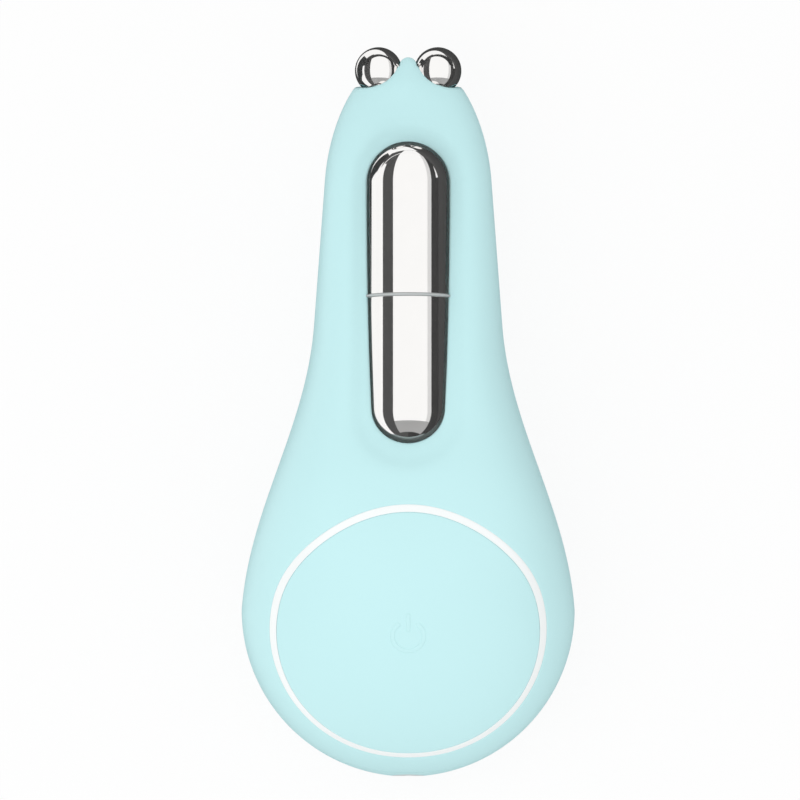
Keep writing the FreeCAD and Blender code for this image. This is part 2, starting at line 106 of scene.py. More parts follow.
# Circuit board with its packages, the switch's base and plunger, and the eight ring lamps.
# Glass-fibre board under green lacquer, screwed on four posts square to the button's travel; the
# packages and the switch are moulded black plastic, the lamps are cast in resin.
board_lacquer = finish("board_lacquer", (0.01, 0.10, 0.035), roughness=0.32, grain=0.5, tint=0.25)
dress(board_lacquer, "main_board")
black_package = finish("black_package", (0.012, 0.012, 0.014), roughness=0.5, grain=0.06)
dress(black_package, "board_chips", "switch_base", "switch_plunger")
lamp_resin = finish("lamp_resin", (0.85, 0.82, 0.62), roughness=0.25, depth=0.001)
dress(lamp_resin, "ring_leds")


# Switch cover, screws and the motor's can and shaft.
# Plain steel: stamped sheet, rolled screws, a drawn can and a ground shaft.
plain_steel = finish("plain_steel", (0.55, 0.55, 0.55), roughness=0.28, metallic=1.0, grain=0.08,
                     depth=0.001)
dress(plain_steel, "switch_cover", "board_screws", "shell_screws", "motor_can", "motor_shaft")


# Snap dome of the switch, between the plunger and the floor of the switch's well.
# Thin sprung steel, stamped to a shallow cap; the real one flattens as the plunger comes down on
# it, while this mesh keeps its shape.
DISC_PLACE = np.array([0.0, -2.65, 21.9])
DISC_TILT = np.radians(24.5)
WELL_FLOOR = -7.5
DOME_RADIUS = 2.2
DOME_HEIGHT = 0.6
DOME_THICKNESS = 0.1
DOME_STEPS = 24
DOME_SEGMENTS = 64
POLE_RADIUS = 1e-4
disc_across = np.array([1.0, 0.0, 0.0])
disc_along = np.array([0.0, np.cos(DISC_TILT), np.sin(DISC_TILT)])
disc_out = np.array([0.0, -np.sin(DISC_TILT), np.cos(DISC_TILT)])


def add_mesh(name, points, faces, material, body):
    """A smooth-shaded mesh from points in millimetres and a list of faces, riding on a body and
    standing for the node of its name."""
    mesh = bpy.data.meshes.new(name + "_mesh")
    mesh.from_pydata((points * MM).tolist(), [], faces)
    mesh.polygons.foreach_set("use_smooth", np.ones(len(mesh.polygons), bool))
    mesh.materials.append(material)
    mesh.validate()
    mesh.update()
    piece = bpy.data.objects.new(name + "_look", mesh)
    bpy.context.scene.collection.objects.link(piece)
    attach(piece, body)
    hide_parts(name)
    return piece


def grid_faces(rows, columns, wrap=True):
    """Quads between neighbouring rows of a grid whose columns close into a ring when wrap is
    set."""
    steps = columns if wrap else columns - 1
    row, column = np.meshgrid(np.arange(rows - 1), np.arange(steps), indexing="ij")
    after = (column + 1) % columns
    quads = np.stack([row * columns + column, row * columns + after,
                      (row + 1) * columns + after, (row + 1) * columns + column], axis=-1)
    return quads.reshape(-1, 4)


def turned(profile, segments=160):
    """Surface of revolution about +Y: each (radius, y) of the profile becomes a ring, and a face
    closes the first ring and the last."""
    angle = np.linspace(0, 2 * np.pi, segments, endpoint=False)
    radius = np.maximum(profile[:, :1], POLE_RADIUS)
    rings = [radius * np.cos(angle), profile[:, 1:] + 0 * angle, -radius * np.sin(angle)]
    last = (len(profile) - 1) * segments
    ends = [list(range(segments - 1, -1, -1)), list(range(last, last + segments))]
    faces = grid_faces(len(profile), segments).tolist() + ends
    return np.stack(rings, axis=-1).reshape(-1, 3), faces


def arc(center, radius, start, stop, count):
    """Points of a circle's arc in the (radius, y) half plane, angles in degrees from the radius
    direction."""
    angle = np.radians(np.linspace(start, stop, count))
    return np.stack([np.cos(angle), np.sin(angle)], axis=-1) * radius + center


dome_curve = (DOME_RADIUS ** 2 + DOME_HEIGHT ** 2) / (2 * DOME_HEIGHT)
dome_inside = dome_curve - DOME_THICKNESS
dome_center = (0, DOME_HEIGHT - dome_curve)
inner_foot = np.degrees(np.arcsin(-dome_center[1] / dome_inside))
outer_foot = np.degrees(np.arcsin(-dome_center[1] / dome_curve))
dome_profile = np.vstack([
    arc(dome_center, dome_inside, 90, inner_foot, DOME_STEPS),
    arc(dome_center, dome_curve, outer_foot, 90, DOME_STEPS),
])
points, faces = turned(dome_profile, DOME_SEGMENTS)
dome_foot = DISC_PLACE + WELL_FLOOR * disc_out
points = dome_foot + points @ np.array([disc_across, disc_out, -disc_along])
dome_piece = add_mesh("switch_dome", points, faces, plain_steel, "housing")
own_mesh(dome_piece)


# Nuts on the studs of the spheres and of the capsule.
# Turned brass, tightened from inside against the holder and the cradle.
turned_brass = finish("turned_brass", (0.68, 0.45, 0.16), roughness=0.3, metallic=1.0, grain=0.08,
                      depth=0.002)
dress(turned_brass, "sphere_nuts", "capsule_nuts")


# Battery cell on its foam pad, and the motor's eccentric weight.
# A foil pouch on closed-cell foam; the weight is sintered heavy metal pressed on the shaft.
pouch_foil = finish("pouch_foil", (0.62, 0.63, 0.65), roughness=0.36, metallic=1.0, grain=1.2,
                    depth=0.05)
dress(pouch_foil, "battery_cell")
cell_foam = finish("cell_foam", (0.07, 0.07, 0.075), roughness=0.9, grain=0.3, depth=0.06,
                   tint=0.3)
dress(cell_foam, "battery_pad")
heavy_metal = finish("heavy_metal", (0.12, 0.115, 0.11), roughness=0.45, metallic=1.0, grain=0.05,
                     depth=0.003, tint=0.15)
dress(heavy_metal, "eccentric_weight")


# Leads of the battery, the motor and the electrodes.
# Stranded copper in red insulation, soldered under the board.
wire_insulation = finish("wire_insulation", (0.35, 0.012, 0.01), roughness=0.4, grain=0.4,
                         depth=0.002)
dress(wire_insulation, "battery_leads", "motor_leads", "sphere_leads", "capsule_leads")


# Charging socket at the bottom end.
# A moulded white sleeve with a plain round bore, flush with the silicone.
socket_plastic = finish("socket_plastic", (0.72, 0.78, 0.78), roughness=0.35, depth=0.002,
                        tint=0.02)
dress(socket_plastic, "charge_socket")


# Two contact spheres at the head, each on a stem that is held by a nut inside.
# Zinc castings with polished chrome plating.
STEM_RADIUS = 1.2
SPHERE_STEPS = 80
polished_chrome = finish("polished_chrome", (0.95, 0.94, 0.925), roughness=0.05, metallic=1.0,
                         grain=2.5, depth=0.0001, tint=0.01, spread=0.03)
sphere_low, sphere_high = (np.array(corner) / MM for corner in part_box("electrode_sphere_right"))
sphere_radius = (sphere_high[0] - sphere_low[0]) / 2
sphere_place = np.array([
    sphere_low[0] + sphere_radius,
    sphere_high[1] - sphere_radius,
    sphere_low[2] + sphere_radius,
])
stem_reach = sphere_place[1] - sphere_low[1]
stem_angle = -np.degrees(np.arccos(STEM_RADIUS / sphere_radius))
sphere_profile = np.vstack([
    [(0, -stem_reach), (STEM_RADIUS, -stem_reach)],
    arc((0, 0), sphere_radius, stem_angle, 90, SPHERE_STEPS),
])
points, faces = turned(sphere_profile)
for side, name in ((-1, "electrode_sphere_left"), (1, "electrode_sphere_right")):
    placed = points + sphere_place * (side, 1, 1)
    add_mesh(name, placed, faces, polished_chrome, "housing")


# Capsule: two hollow chrome halves, each with a stud, and the thin grey disc that keeps them apart.
# Deep-drawn and plated metal; the disc is an insulating plastic washer that stands a little proud.
CAPSULE_RADIUS = 5.5
CAPSULE_LENGTH = 41.4
CAPSULE_PLACE = np.array([0.0, 41.8, 23.3])
CAPSULE_TILT = np.radians(-3.5)
CAPSULE_EDGE = 0.12
CAPSULE_ROWS = 30
CAPSULE_END_STEPS = 60
CAPSULE_SEGMENTS = 224
EDGE_STEPS = 6
DIVIDER_THICKNESS = 0.3
DIVIDER_LIP = 0.3
DIVIDER_STEPS = 16
capsule_half = CAPSULE_LENGTH / 2 - CAPSULE_RADIUS
half_divider = DIVIDER_THICKNESS / 2


def on_capsule(points):
    """Points from the capsule's own frame (y along its axis) turned about X by its tilt and moved
    to its place."""
    c, s = np.cos(CAPSULE_TILT), np.sin(CAPSULE_TILT)
    turn = np.array([[1, 0, 0], [0, c, -s], [0, s, c]])
    return points @ turn.T + CAPSULE_PLACE


edge_center = (CAPSULE_RADIUS - CAPSULE_EDGE, half_divider + CAPSULE_EDGE)
side_y = np.linspace(half_divider + 2 * CAPSULE_EDGE, capsule_half, CAPSULE_ROWS)
half_profile = np.vstack([
    [(0, half_divider)],
    arc(edge_center, CAPSULE_EDGE, -90, 0, EDGE_STEPS),
    np.stack([np.full(CAPSULE_ROWS, CAPSULE_RADIUS), side_y], axis=-1),
    arc((0, capsule_half), CAPSULE_RADIUS, 0, 90, CAPSULE_END_STEPS)[1:],
])
points, faces = turned(half_profile, CAPSULE_SEGMENTS)
for sign, name in ((1, "capsule_upper_electrode"), (-1, "capsule_lower_electrode")):
    placed = on_capsule(points * (sign, sign, 1))
    add_mesh(name, placed, faces, polished_chrome, "housing")

divider_plastic = finish("divider_plastic", (0.52, 0.55, 0.55), roughness=0.4, depth=0.002)
rim_center = (CAPSULE_RADIUS + DIVIDER_LIP - half_divider, 0)
divider_profile = np.vstack([
    [(0, -half_divider)],
    arc(rim_center, half_divider, -90, 90, DIVIDER_STEPS),
    [(0, half_divider)],
])
points, faces = turned(divider_profile)
add_mesh("capsule_divider", on_capsule(points), faces, divider_plastic, "housing")


# Rear silicone skin: the back, the lower end and the lower side walls, with a hole for the socket.
# Satin aqua silicone moulded over the hard shell; its edge meets the front skin on the parting
# line.
BULB_RADIUS = 22.2
NECK_FOOT = 15.4
NECK_TAPER = 0.075
SHOULDER_LENGTH = 38.0
HEAD_START = 57.3
HEAD_ROUNDNESS = 0.42
HEAD_STOOP = 0.45
TIP_Y = 73.7
TIP_Z = 16.0
POLE_Z = 6.0
CROWN_TOP = 29.98
CROWN_TOP_Y = 9.2
CROWN_FALL = 0.15
CROWN_BEND = 10.0
CROWN_ROUNDNESS = 1.9
LAND_END = -4.0
LAND_SAG = 0.5
BACK_RISE_START = 24.0
BACK_RISE = 7.0
EQUATOR_SHARE = 0.45
FRONT_FULLNESS = 2.2
SHOULDER_FULLNESS = 1.4
BACK_FULLNESS = 2.6
DISH_DEPTH = 1.0
DISH_HALF_WIDTH = 7.6
DISH_Y_LOW = 18.0
DISH_Y_HIGH = 68.0
DISH_RUN = 8.0
MOAT_DEPTH = 0.55
MOAT_FLAT = 0.6
MOAT_RUN = 1.4
SCOOP_X = 6.5
SCOOP_Y = 75.5
SCOOP_RADIUS = 5.9
SCOOP_EDGE_SLOPE = 12.0
SCOOP_SHARPNESS = 12.0
EAR_HEIGHT = 0.4
NOSE_RADIUS = 1.15
NOSE_TIP = 0.01
NOSE_LIFT = 1.0
NOSE_HALF_WIDTH = 4.5
NOSE_START = 66.0
NOSE_RUN = 5.0
SPHERE_GAP = 0.03
SKIN = 1.2
THIN_WALL = 0.05
THIN_RUN = 2.5
SPLIT_Z_BOTTOM = 9.8
SPLIT_Z_TIP = 15.5
PARTING_GAP = 0.08
PARTING_STEP = 0.5
FOOT_RUN = 8.0
FOOT_STEPS = 300
SIDE_STEPS = 900
SOCKET_Z = 6.5
SOCKET_RADIUS = 2.2
SOCKET_EDGE = 0.05
SOCKET_STEPS = 240
CAP_Y = -22.1
END_SEARCH = 4.0
MESH_STEP = 0.6
ROW_SHARE = 0.866
RIM_SHARE = 0.45
RIM_PARTS = 40
ANGLE_SCALE = 16.0
SEAM_GAP = 0.01
WELD = 1e-7
TINY = 1e-6
LEAST_HEIGHT = 1e-4
LEAST_COSINE = 1e-3
NEAR_TIP = 0.99999
NEAR_POLE = 0.999999
head_length = TIP_Y - HEAD_START
aqua_silicone = finish("aqua_silicone", (0.57, 0.865, 0.885), roughness=0.5, grain=0.11,
                       depth=0.0012, tint=0.012, spread=0.06)
silicone_shader = aqua_silicone.node_tree.nodes["Principled BSDF"]
silicone_shader.inputs["Specular IOR Level"].default_value = 0.35


def smooth_step(value, low, run):
    """0 below low, 1 above low + run, a cubic with flat ends between."""
    t = np.clip((value - low) / run, 0, 1)
    return t * t * (3 - 2 * t)


def along_head(y):
    """How far y has come along the head: 0 at its start and almost 1 at the tip."""
    return np.clip((y - HEAD_START) / head_length, 0, NEAR_TIP)


def half_width(y):
    """Half the outline's width: a circle below y = 0; above it a straight taper plus half a cosine
    wave for the shoulder; in the head the taper times a power of 1 - t squared."""
    circle = np.sqrt(np.maximum(BULB_RADIUS ** 2 - y ** 2, TINY))
    wave = (1 + np.cos(np.pi * np.clip(y / SHOULDER_LENGTH, 0, 1))) / 2
    neck = NECK_FOOT - NECK_TAPER * y + (BULB_RADIUS - NECK_FOOT) * wave
    t = along_head(y)
    return np.where(y < 0, circle, neck * (1 - t * t) ** HEAD_ROUNDNESS)


def head_close(y):
    """Share of the head's thickness left at y: a quarter ellipse, drawn in further towards the
    tip."""
    t = along_head(y)
    return np.sqrt(1 - t * t) * (1 - HEAD_STOOP * t * t)


def crown(y):
    """Height of the front on the middle line: a superellipse over the bulb, then a parabola that
    bends into a straight fall along the neck, closed by the head."""
    u = np.clip((CROWN_TOP_Y - y) / (CROWN_TOP_Y + BULB_RADIUS), 0, NEAR_POLE)
    rise = (1 - u ** CROWN_ROUNDNESS) ** (1 / CROWN_ROUNDNESS)
    dome = POLE_Z + (CROWN_TOP - POLE_Z) * rise
    past = np.maximum(y - CROWN_TOP_Y, 0)
    bend = np.minimum(past, CROWN_BEND)
    line = CROWN_TOP - CROWN_FALL * (bend * bend / (2 * CROWN_BEND) + past - bend)
    return np.where(y < CROWN_TOP_Y, dome, TIP_Z + (line - TIP_Z) * head_close(y))


def back(y):
    """Height of the back on the middle line: a quarter ellipse, a flat land, a smooth rise to the
    head."""
    u = np.clip((LAND_END - y) / (LAND_END + BULB_RADIUS), 0, NEAR_POLE)
    low_end = POLE_Z - (POLE_Z + LAND_SAG) * np.sqrt(1 - u * u)
    line = BACK_RISE * smooth_step(y, BACK_RISE_START, HEAD_START - BACK_RISE_START) - LAND_SAG
    return np.where(y < LAND_END, low_end, TIP_Z + (line - TIP_Z) * head_close(y))


def dish(x, y):
    """Depth of the hollow around the capsule: a bell curve across, faded in and out along the neck,
    and a narrow moat that falls off with the distance from the capsule's outline; less the rise of
    the nose at the head, a bell curve across that fades in."""
    window = smooth_step(y, DISH_Y_LOW, DISH_RUN) * smooth_step(-y, -DISH_Y_HIGH, DISH_RUN)
    broad = DISH_DEPTH * window * np.exp(-(x / DISH_HALF_WIDTH) ** 2)
    past = y - np.clip(y, CAPSULE_PLACE[1] - capsule_half, CAPSULE_PLACE[1] + capsule_half)
    off = np.maximum(np.hypot(x, past) - CAPSULE_RADIUS - MOAT_FLAT, 0)
    moat = MOAT_DEPTH * np.exp(-(off / MOAT_RUN) ** 2)
    nose = NOSE_LIFT * smooth_step(y, NOSE_START, NOSE_RUN) * np.exp(-(x / NOSE_HALF_WIDTH) ** 2)
    return broad + moat - nose


def equator(y):
    """Height at which the front half of a section meets its back half: a share of the way from the
    back to the crown."""
    return back(y) + EQUATOR_SHARE * (crown(y) - back(y))


def reach(angle, y):
    """Distance of the skin from the section's middle: two half superellipses, the front one fuller
    along the shoulder."""
    c, s = np.abs(np.cos(angle)), np.sin(angle)
    fullness = FRONT_FULLNESS + SHOULDER_FULLNESS * smooth_step(y, 0, SHOULDER_LENGTH / 2)
    power = np.where(s >= 0, fullness, BACK_FULLNESS)
    front, rear = crown(y) - equator(y), equator(y) - back(y)
    height = np.maximum(np.where(s >= 0, front, rear), LEAST_HEIGHT)
    return ((c / half_width(y)) ** power + (np.abs(s) / height) ** power) ** (-1 / power)


def scooped(angle, y):
    """The reach, kept inside the two round scoops at the head and the round nose between them by a
    soft minimum: the root of the sum of both distances to a high negative power."""
    foot = SCOOP_Y - SCOOP_RADIUS + EAR_HEIGHT
    bite = np.sqrt(np.maximum(SCOOP_RADIUS ** 2 - (np.maximum(y, foot) - SCOOP_Y) ** 2, 0))
    wall = SCOOP_X - bite + SCOOP_EDGE_SLOPE * np.maximum(foot - y, 0)
    past = np.maximum(y - TIP_Y + NOSE_RADIUS, 0)
    nose = np.sqrt(np.maximum(NOSE_RADIUS ** 2 - past ** 2, NOSE_TIP ** 2))
    wall = np.where(y > TIP_Y - NOSE_RADIUS, np.minimum(wall, nose), wall)
    limit = wall / np.maximum(np.abs(np.cos(angle)), LEAST_COSINE)
    total = reach(angle, y) ** -SCOOP_SHARPNESS + limit ** -SCOOP_SHARPNESS
    return total ** (-1 / SCOOP_SHARPNESS)


def skin_points(angle, y):
    """Points of the outside: the scooped reach at each angle and y, less the dish, pressed flat on
    the rest plane and at the lower end, and pushed out of the two balls that leave room for the
    spheres."""
    r = scooped(angle, y)
    x = r * np.cos(angle)
    z = equator(y) + r * np.sin(angle) - np.maximum(np.sin(angle), 0) * dish(x, y)
    points = np.stack([x, np.maximum(y, CAP_Y), np.maximum(z, 0)], axis=-1)
    room = sphere_radius + SPHERE_GAP
    for side in (-1, 1):
        away = points - sphere_place * (side, 1, 1)
        distance = np.linalg.norm(away, axis=-1, keepdims=True)
        points = points + away * np.maximum(room / np.maximum(distance, TINY) - 1, 0)
    return points


def y_from_run(run):
    """Place along Y of a run along the skin: even steps of arc round the bulb's end and round the
    head."""
    low = BULB_RADIUS * np.sin(np.clip(run / BULB_RADIUS, -np.pi / 2, 0))
    turn = np.clip((run - HEAD_START) / head_length, 0, np.pi / 2)
    high = HEAD_START + head_length * np.sin(turn)
    return np.where(run < 0, low, np.where(run > HEAD_START, high, run))


def run_from_y(y):
    """The run along the skin at y, the inverse of y_from_run."""
    low = BULB_RADIUS * np.arcsin(np.clip(y / BULB_RADIUS, -1, 0))
    high = HEAD_START + head_length * np.arcsin(np.clip((y - HEAD_START) / head_length, 0, 1))
    return np.where(y < 0, low, np.where(y > HEAD_START, high, y))


def bisect(outside, low, high, steps=48):
    """Where a function changes from negative (at low) to positive (at high), by halving the
    interval."""
    for _ in range(steps):
        middle = (low + high) / 2
        positive = outside(middle) > 0
        low, high = np.where(positive, low, middle), np.where(positive, middle, high)
    return (low + high) / 2


def split_height(y):
    """Height of the parting plane at y: a straight line from the lower end to the tip."""
    share = (y + BULB_RADIUS) / (TIP_Y + BULB_RADIUS)
    return SPLIT_Z_BOTTOM + (SPLIT_Z_TIP - SPLIT_Z_BOTTOM) * share


def split_angle(y, lift):
    """Angle on the right-hand side at which the skin crosses the parting plane, lifted a little."""
    def above(angle):
        """Height of the skin over the lifted plane."""
        return equator(y) + reach(angle, y) * np.sin(angle) - split_height(y) - lift

    return bisect(above, np.full_like(y, -np.pi / 2), np.full_like(y, np.pi / 2))


def even_line(line, step):
    """A line of (angle, run) points spaced evenly by its length on the skin."""
    places = skin_points(line[:, 0], y_from_run(line[:, 1]))
    length = np.concatenate([[0], np.cumsum(np.linalg.norm(np.diff(places, axis=0), axis=1))])
    wanted = np.linspace(0, length[-1], max(int(length[-1] / step), 2) + 1)
    return np.stack([np.interp(wanted, length, line[:, k]) for k in (0, 1)], axis=-1)


def inside_loop(points, loop):
    """Which points lie inside a closed loop, by counting crossings of a ray along the first
    axis."""
    start, stop = loop, np.roll(loop, -1, axis=0)
    px, py = points[:, 0, None], points[:, 1, None]
    crosses = (start[:, 1] > py) != (stop[:, 1] > py)
    rise = np.where(stop[:, 1] == start[:, 1], TINY, stop[:, 1] - start[:, 1])
    at = start[:, 0] + (py - start[:, 1]) * (stop[:, 0] - start[:, 0]) / rise
    return (crosses & (px < at)).sum(axis=1) % 2 == 1


def fill_loops(outline, holes, step):
    """Triangles that fill an outline less its holes in the (scaled angle, run) plane: the loops'
    own points, then a staggered grid of points inside, joined by a constrained Delaunay
    triangulation."""
    scale = np.array([ANGLE_SCALE, 1.0])
    loops = [loop * scale for loop in (outline, *holes)]

    def within(spots):
        """Which points lie inside the outline and outside every hole."""
        keep = inside_loop(spots, loops[0])
        for loop in loops[1:]:
            keep &= ~inside_loop(spots, loop)
        return keep

    low, high = loops[0].min(axis=0), loops[0].max(axis=0)
    rows = np.arange(low[1], high[1], step * ROW_SHARE)
    run, across = np.meshgrid(rows, np.arange(low[0], high[0], step), indexing="ij")
    across = across + step / 2 * (np.arange(len(run))[:, None] % 2)
    grid = np.stack([across.ravel(), run.ravel()], axis=-1)
    grid = grid[within(grid)]
    rim = np.vstack(loops)
    clear = np.ones(len(grid), bool)
    for part in np.array_split(rim, RIM_PARTS):
        nearest = np.linalg.norm(grid[:, None] - part[None], axis=-1).min(axis=1)
        clear &= nearest > step * RIM_SHARE
    points = np.vstack([rim, grid[clear]])
    edges, first = [], 0
    for loop in loops:
        start = first + np.arange(len(loop))
        edges += np.stack([start, np.roll(start, -1)], axis=-1).tolist()
        first += len(loop)
    found, _, faces, _, _, _ = delaunay_2d_cdt(points.tolist(), edges, [], 0, WELD)
    found, faces = np.array(found), np.array(faces)
    return found / scale, faces[within(found[faces].mean(axis=1))]


def close_seams(piece, facing):
    """Merges points that coincide on a seam or a pole, turns the faces so that the outermost one
    along Z looks outwards, and keeps the open edges crisp."""
    mesh = bmesh.new()
    mesh.from_mesh(piece.data)
    bmesh.ops.remove_doubles(mesh, verts=mesh.verts, dist=SEAM_GAP * MM)
    bmesh.ops.recalc_face_normals(mesh, faces=mesh.faces)
    mesh.to_mesh(piece.data)
    mesh.free()
    polygons, edges, loops = piece.data.polygons, piece.data.edges, piece.data.loops
    center, normal = np.empty((2, len(polygons), 3))
    polygons.foreach_get("center", center.ravel())
    polygons.foreach_get("normal", normal.ravel())
    if normal[np.argmax(facing * center[:, 2]), 2] * facing < 0:
        piece.data.flip_normals()
    edge_of_loop = np.empty(len(loops), np.int32)
    loops.foreach_get("edge_index", edge_of_loop)
    uses = np.bincount(edge_of_loop, minlength=len(edges))
    edges.foreach_set("use_edge_sharp", uses == 1)
    polygons.foreach_set("use_smooth", np.ones(len(polygons), bool))


def skin_mesh(name, outline, holes, lips, facing):
    """A skin's outside with the rounded lips of its openings, given its thickness inwards; the wall
    thins out at the lips and at the peak between the spheres. Each lip is a stack of rings that
    starts on a hole's own points. Facing is +1 for the front and -1 for the back."""
    flat, faces = fill_loops(outline, holes, MESH_STEP)
    points = [skin_points(flat[:, 0], y_from_run(flat[:, 1]))]
    faces = faces.tolist()
    first, total = len(outline), len(flat)
    for rings in lips:
        count = rings.shape[1]
        added = rings[1:].reshape(-1, 3)
        index = np.concatenate([first + np.arange(count), total + np.arange(len(added))])
        faces += index[grid_faces(len(rings), count)].tolist()
        points.append(added)
        first += count
        total += len(added)
    points = np.vstack(points)
    thinning = smooth_step(points[:, 1], SCOOP_Y - SCOOP_RADIUS - THIN_RUN, THIN_RUN)
    share = 1 - (1 - THIN_WALL) * thinning
    share[len(flat):] = THIN_WALL
    share = np.round(share, 2)
    piece = add_mesh(name, points, faces, aqua_silicone, "housing")
    group = piece.vertex_groups.new(name="wall")
    for weight in np.unique(share):
        group.add(np.flatnonzero(share == weight).tolist(), float(weight), "REPLACE")
    close_seams(piece, facing)
    wall = piece.modifiers.new("wall", "SOLIDIFY")
    wall.thickness = SKIN * MM
    wall.offset = -1
    wall.vertex_group = "wall"
    return piece


around = np.radians(np.linspace(90, -270, SOCKET_STEPS))


def off_socket(y):
    """Distance of the skin at y, at each angle around, from the edge of the socket's hole."""
    spot = skin_points(around, y)
    return np.hypot(spot[:, 0], spot[:, 2] - SOCKET_Z) - SOCKET_RADIUS - SOCKET_EDGE


def parting_line(lift):
    """The skin's edge on the right-hand side, from the lower end to the tip, at a lift over the
    parting plane: the plane's angle over a run with square steps at the foot and even ones above,
    spaced evenly on the skin."""
    def crown_above(y):
        """Height of the crown over the lifted plane."""
        return crown(y) - split_height(y) - lift

    foot = bisect(crown_above, np.array([-BULB_RADIUS]), np.array([END_SEARCH - BULB_RADIUS]))[0]
    low, high = run_from_y(np.array([foot, TIP_Y]))
    runs = np.concatenate([
        low + FOOT_RUN * np.linspace(0, 1, FOOT_STEPS) ** 2,
        np.linspace(low + FOOT_RUN, high, SIDE_STEPS)[1:],
    ])
    angles = split_angle(y_from_run(runs), lift)
    return even_line(np.stack([angles, runs], axis=-1), PARTING_STEP)


end_low = np.full_like(around, -BULB_RADIUS)
socket_y = bisect(off_socket, end_low, end_low + END_SEARCH)
socket_loop = np.stack([around, run_from_y(socket_y)], axis=-1)
rear_edge = parting_line(-PARTING_GAP / 2)
left_edge = np.stack([-np.pi - rear_edge[:, 0], rear_edge[:, 1]], axis=-1)
rear_outline = np.vstack([socket_loop, left_edge, rear_edge[::-1]])
skin_mesh("rear_silicone_skin", rear_outline, [], [], -1)


# Front silicone skin: the face with its hollow, the capsule's slot, the disc's opening and the
# peak at the head.
# The same satin silicone; its openings are finished with a small round lip.
RING_RADIUS = 18.48
OPENING_LIP = 0.12
SLOT_GAP = 0.03
SLOT_LIP = 0.3
SLOT_SIDE_STEPS = 75
SLOT_END_STEPS = 42
SLOT_TIPS = (0.2, 1.95)
DISC_COLUMNS = 300
DISC_SEARCH = 9.0
DISH_ROUNDS = 4
slot_radius = CAPSULE_RADIUS + SLOT_GAP


def filled_polar(points):
    """Angle and distance of points about their section's middle with the dish filled up: its depth
    times the angle's sine is added along Z, in a few rounds because the angle changes with it."""
    x, y = points[..., 0], points[..., 1]
    z, depth = points[..., 2] - equator(y), dish(x, y)
    angle = np.arctan2(z, x)
    for _ in range(DISH_ROUNDS):
        lifted = z + np.maximum(np.sin(angle), 0) * depth
        angle = np.arctan2(lifted, x)
    return angle, np.hypot(x, lifted)


def beyond_skin(points):
    """How far points lie outside the skin, along their section's ray; negative inside."""
    angle, distance = filled_polar(points)
    return distance - reach(angle, points[..., 1])


def skin_coordinates(points):
    """The (angle, run) of points on the skin, with angles from -90 to 270 degrees."""
    angle, _ = filled_polar(points)
    angle = np.where(angle < -np.pi / 2, angle + 2 * np.pi, angle)
    return np.stack([angle, run_from_y(points[..., 1])], axis=-1)


def disc_points(radius, turn, depth):
    """Points of the skin at a radius and a turn about the disc's axis, sunk by a depth along that
    axis."""
    radius, turn, depth = np.broadcast_arrays(radius, turn, depth)
    right, ahead = radius * np.cos(turn), radius * np.sin(turn)
    flat = DISC_PLACE + right[..., None] * disc_across + ahead[..., None] * disc_along

    def beyond(height):
        """How far the points at a height over the disc's plane lie outside the skin."""
        return beyond_skin(flat + height[..., None] * disc_out)

    lowest = np.full(radius.shape, -DISC_SEARCH)
    height = bisect(beyond, lowest, -lowest)
    return flat + (height - depth)[..., None] * disc_out


def slot_points(radius, depth):
    """Points where the skin meets a rod of some radius on the capsule's axis: along its right side,
    round its upper end, down its left side and round its lower end; sunk by a depth along the
    capsule's own Z."""
    side = np.linspace(-capsule_half, capsule_half, SLOT_SIDE_STEPS)[:-1]
    end = np.linspace(0, np.pi, SLOT_END_STEPS)[:-1]
    upper, lower = np.full_like(end, capsule_half), np.full_like(end, -capsule_half)
    along = np.concatenate([side, upper, -side, lower])
    turn = np.concatenate([np.zeros_like(side), end, np.full_like(side, np.pi), end + np.pi])

    def rod(tip):
        """Points of the sunk rod at an angle from its top."""
        out, rise = radius * np.sin(tip), radius * np.cos(tip) - depth
        return on_capsule(np.stack([out * np.cos(turn), along + out * np.sin(turn), rise], axis=-1))

    def within(tip):
        """How far the points of the rod, before it is sunk, lie inside the skin."""
        return -beyond_skin(rod(tip) + on_capsule(np.array([0, 0, depth])) - CAPSULE_PLACE)

    low, high = (np.full_like(turn, tip) for tip in SLOT_TIPS)
    return rod(bisect(within, low, high))


columns = np.linspace(0, 2 * np.pi, DISC_COLUMNS, endpoint=False)
quarter = np.radians(np.linspace(0, 90, EDGE_STEPS))
opening_radius = np.append(RING_RADIUS + OPENING_LIP * (1 - np.sin(quarter)), RING_RADIUS)
opening_depth = np.append(OPENING_LIP * (1 - np.cos(quarter)), SKIN)
opening_rings = disc_points(opening_radius[:, None], columns, opening_depth[:, None])
lip_radius = np.append(slot_radius + SLOT_LIP * (1 - np.sin(quarter)), slot_radius)
lip_depth = np.append(SLOT_LIP * (1 - np.cos(quarter)), SKIN)
slot_rings = np.array([slot_points(*ring) for ring in zip(lip_radius, lip_depth)])
front_edge = parting_line(PARTING_GAP / 2)
left_edge = np.stack([np.pi - front_edge[:, 0], front_edge[:, 1]], axis=-1)
front_outline = np.vstack([front_edge[1:], left_edge[::-1]])
front_lips = [opening_rings, slot_rings]
front_holes = [skin_coordinates(rings[0]) for rings in front_lips]
front_skin = skin_mesh("front_silicone_skin", front_outline, front_holes, front_lips, 1)
# The chrome shows the studio and not the silicone beside it.
front_skin.visible_glossy = False
